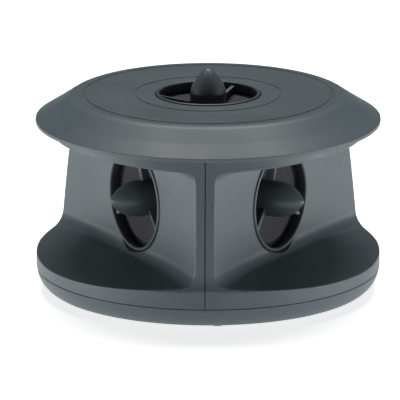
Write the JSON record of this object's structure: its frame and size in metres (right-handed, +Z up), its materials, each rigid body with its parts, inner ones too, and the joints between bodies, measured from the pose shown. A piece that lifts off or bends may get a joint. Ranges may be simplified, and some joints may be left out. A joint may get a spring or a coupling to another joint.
{
  "type": "electronic pest repeller",
  "caption": "Round pest repeller with an adaptor socket: triangular tower with side loudspeaker horns under an overhanging cap, and a horn in the cap.",
  "frame": {"origin": "middle of the round footprint, on the surface that the rubber feet stand on", "axes": "+Z up; -Y towards the front rib, between the left and right horns; +Y towards the rear horn, the power socket and the controls"},
  "size_m": [0.2, 0.2, 0.1306],
  "materials": {
    "shell_plastic": "fine spark-eroded grain, satin",
    "horn_plastic": "smooth satin",
    "rubber_black": "matte",
    "foam": "open-cell foam",
    "cone_paper": "pressed paper, dull",
    "spider_cloth": "resin-dipped cloth",
    "frame_steel": "satin paint",
    "plated_steel": "zinc plated",
    "screw_steel": "zinc plated",
    "ferrite": "sintered, dull",
    "board_green": "solder mask",
    "chip_black": "moulded",
    "capacitor_sleeve": "shrink sleeve",
    "header_plastic": "moulded",
    "lead_sheath": "soft sheath",
    "brass_pin": "bright",
    "lamp_red": "tinted clear",
    "knob_plastic": "satin"
  },
  "bodies": {
    "housing": {"top_cap": "shell_plastic", "side_shell_right": "shell_plastic", "side_shell_left": "shell_plastic", "side_shell_rear": "shell_plastic", "base_tray": "shell_plastic", "rubber_feet": "rubber_black", "horn_right": "horn_plastic", "horn_left": "horn_plastic", "horn_rear": "horn_plastic", "horn_top": "horn_plastic", "horn_gasket_right": "foam", "horn_gasket_left": "foam", "horn_gasket_rear": "foam", "horn_gasket_top": "foam", "cone_surround_right": "rubber_black", "cone_surround_left": "rubber_black", "cone_surround_rear": "rubber_black", "cone_surround_top": "rubber_black", "cone_spider_right": "spider_cloth", "cone_spider_left": "spider_cloth", "cone_spider_rear": "spider_cloth", "cone_spider_top": "spider_cloth", "speaker_frame_right": "frame_steel", "speaker_frame_left": "frame_steel", "speaker_frame_rear": "frame_steel", "speaker_frame_top": "frame_steel", "pole_washer_right": "plated_steel", "pole_washer_left": "plated_steel", "pole_washer_rear": "plated_steel", "pole_washer_top": "plated_steel", "speaker_magnet_right": "ferrite", "speaker_magnet_left": "ferrite", "speaker_magnet_rear": "ferrite", "speaker_magnet_top": "ferrite", "magnet_yoke_right": "plated_steel", "magnet_yoke_left": "plated_steel", "magnet_yoke_rear": "plated_steel", "magnet_yoke_top": "plated_steel", "speaker_screws": "screw_steel", "case_screws": "screw_steel", "cap_screws": "screw_steel", "board_screws": "screw_steel", "circuit_board": "board_green", "driver_chips": "chip_black", "capacitors": "capacitor_sleeve", "transformer": "ferrite", "lead_headers": "header_plastic", "speaker_leads": "lead_sheath", "power_socket": "chip_black", "socket_pin": "brass_pin", "status_lamp": "lamp_red", "selector_body": "chip_black"},
    "selector": {"selector_shaft": "plated_steel", "selector_knob": "knob_plastic"},
    "cone_right": {"speaker_cone_right": "cone_paper"},
    "cone_left": {"speaker_cone_left": "cone_paper"},
    "cone_rear": {"speaker_cone_rear": "cone_paper"},
    "cone_top": {"speaker_cone_top": "cone_paper"}
  },
  "joints": [
    {"name": "selector_turn", "type": "hinge", "parent": "housing", "child": "selector", "pos_m": [0.02485, 0.09273, 0.0134], "axis": [0.2588, 0.9659, 0], "range_deg": [-135, 135]},
    {"name": "cone_right_travel", "type": "slide", "parent": "housing", "child": "cone_right", "axis": [0.866, -0.5, 0], "range_m": [-0.0003, 0.0003], "stiffness_N_per_m": 400},
    {"name": "cone_left_travel", "type": "slide", "parent": "housing", "child": "cone_left", "axis": [-0.866, -0.5, 0], "range_m": [-0.0003, 0.0003], "stiffness_N_per_m": 400},
    {"name": "cone_rear_travel", "type": "slide", "parent": "housing", "child": "cone_rear", "axis": [0, 1, 0], "range_m": [-0.0003, 0.0003], "stiffness_N_per_m": 400},
    {"name": "cone_top_travel", "type": "slide", "parent": "housing", "child": "cone_top", "axis": [0, 0, 1], "range_m": [-0.0003, 0.0003], "stiffness_N_per_m": 400}
  ]
}
